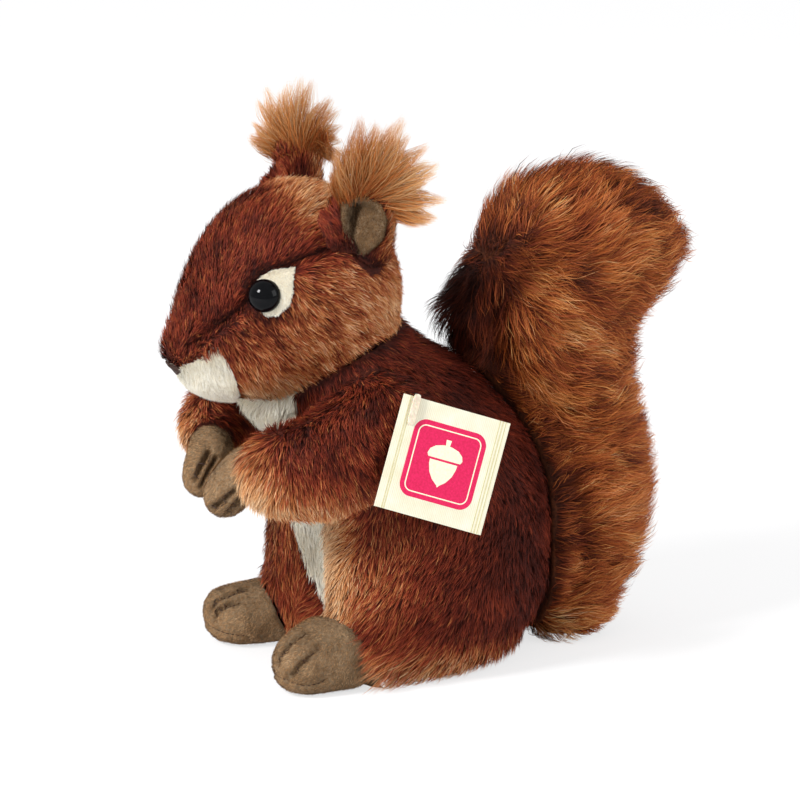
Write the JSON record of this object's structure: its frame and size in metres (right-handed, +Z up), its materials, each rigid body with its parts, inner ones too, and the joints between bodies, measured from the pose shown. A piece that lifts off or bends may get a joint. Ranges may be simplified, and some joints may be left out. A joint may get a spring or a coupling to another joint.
{
  "type": "plush squirrel",
  "caption": "Sitting plush squirrel with a curled long-pile tail, tufted ears, white throat and belly, taupe hands and feet, glossy eyes and a folded card hang tag.",
  "frame": {"origin": "centre of the flat seat under the body, on the plane that the body, feet and tail rest on", "axes": "+Z up, the squirrel faces -Y, its left side is +X"},
  "size_m": [0.1187, 0.1844, 0.1866],
  "materials": {
    "brown_plush": "red-brown short-pile plush",
    "white_plush": "cream short-pile plush",
    "taupe_nap": "taupe close nap",
    "tail_plush": "golden brown long-pile plush",
    "tuft_hair": "loose light tan hair",
    "eye_plastic": "polished black",
    "washer_plastic": "natural plastic",
    "nose_thread": "dark stitched thread",
    "patch_felt": "cream felt",
    "tag_card": "cream printed card",
    "tag_plastic": "clear plastic"
  },
  "bodies": {
    "root": {"arm_left": "brown_plush", "arm_right": "brown_plush", "body": "brown_plush", "chest_panel": "white_plush", "ear_left": "brown_plush", "ear_lining_left": "taupe_nap", "ear_lining_right": "taupe_nap", "ear_right": "brown_plush", "ear_tuft_left": "tuft_hair", "ear_tuft_right": "tuft_hair", "eye_left": "eye_plastic", "eye_patch_left": "patch_felt", "eye_patch_right": "patch_felt", "eye_right": "eye_plastic", "eye_washer_left": "washer_plastic", "eye_washer_right": "washer_plastic", "foot_left": "taupe_nap", "foot_right": "taupe_nap", "hand_left": "taupe_nap", "hand_right": "taupe_nap", "hang_tag": "tag_card", "head": "brown_plush", "muzzle": "white_plush", "nose": "nose_thread", "tag_fastener": "tag_plastic", "tail": "tail_plush"}
  },
  "joints": []
}
